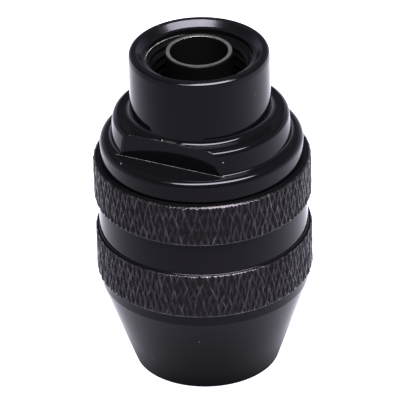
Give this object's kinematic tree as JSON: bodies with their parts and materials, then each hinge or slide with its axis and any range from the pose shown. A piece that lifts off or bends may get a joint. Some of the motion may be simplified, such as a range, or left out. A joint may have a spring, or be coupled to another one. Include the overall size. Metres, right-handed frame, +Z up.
{
  "type": "drill chuck",
  "caption": "Keyless three-jaw drill chuck for a small rotary tool: knurled sleeve with a conical nose, flanged body with wrench flats, threaded rear bore around a hollow spigot.",
  "frame": {"origin": "centre of the nose face, on the chuck's axis", "axes": "+Z up the chuck's axis, from the nose to the rear end that screws onto the spindle; jaw_1 lies towards +X"},
  "size_m": [0.0175, 0.0174, 0.028],
  "materials": {
    "black_finish": "glossy black oxide over turned steel",
    "spigot_steel": "dark turned steel with a bare machined rim",
    "jaw_steel": "ground steel",
    "nut_steel": "hardened steel, lightly oiled",
    "race_steel": "ground bearing steel",
    "ball_steel": "polished bearing ball",
    "cage_brass": "stamped brass"
  },
  "bodies": {
    "body": {"chuck_body": "black_finish", "spindle_spigot": "spigot_steel", "rear_race": "race_steel"},
    "sleeve": {"sleeve": "black_finish", "nut_half_a": "nut_steel", "nut_half_b": "nut_steel", "nut_band": "race_steel", "front_race": "race_steel"},
    "cage": {"ball_cage": "cage_brass", "ball_01": "ball_steel", "ball_02": "ball_steel", "ball_03": "ball_steel", "ball_04": "ball_steel", "ball_05": "ball_steel", "ball_06": "ball_steel", "ball_07": "ball_steel", "ball_08": "ball_steel", "ball_09": "ball_steel", "ball_10": "ball_steel", "ball_11": "ball_steel", "ball_12": "ball_steel", "ball_13": "ball_steel", "ball_14": "ball_steel", "ball_15": "ball_steel", "ball_16": "ball_steel"},
    "jaw_1": {"jaw_1": "jaw_steel"},
    "jaw_2": {"jaw_2": "jaw_steel"},
    "jaw_3": {"jaw_3": "jaw_steel"}
  },
  "joints": [
    {"name": "sleeve_spin", "type": "hinge", "parent": "body", "child": "sleeve", "pos_m": [0, 0, 0], "axis": [0, 0, -1], "range_deg": [0, 1980]},
    {"name": "cage_spin", "type": "hinge", "parent": "body", "child": "cage", "pos_m": [0, 0, 0], "axis": [0, 0, -1], "range_deg": [0, 990]},
    {"name": "jaw_1_slide", "type": "slide", "parent": "body", "child": "jaw_1", "axis": [0.342, 0, 0.9397], "range_m": [0, 0.00468]},
    {"name": "jaw_2_slide", "type": "slide", "parent": "body", "child": "jaw_2", "axis": [-0.171, 0.2962, 0.9397], "range_m": [0, 0.00468]},
    {"name": "jaw_3_slide", "type": "slide", "parent": "body", "child": "jaw_3", "axis": [-0.171, -0.2962, 0.9397], "range_m": [0, 0.00468]}
  ],
  "couplings": [
    {"joint": "cage_spin", "follows": "sleeve_spin", "ratio": 0.5},
    {"joint": "jaw_1_slide", "follows": "sleeve_spin", "m_per_rad": 0.0001355},
    {"joint": "jaw_2_slide", "follows": "sleeve_spin", "m_per_rad": 0.0001355},
    {"joint": "jaw_3_slide", "follows": "sleeve_spin", "m_per_rad": 0.0001355}
  ]
}
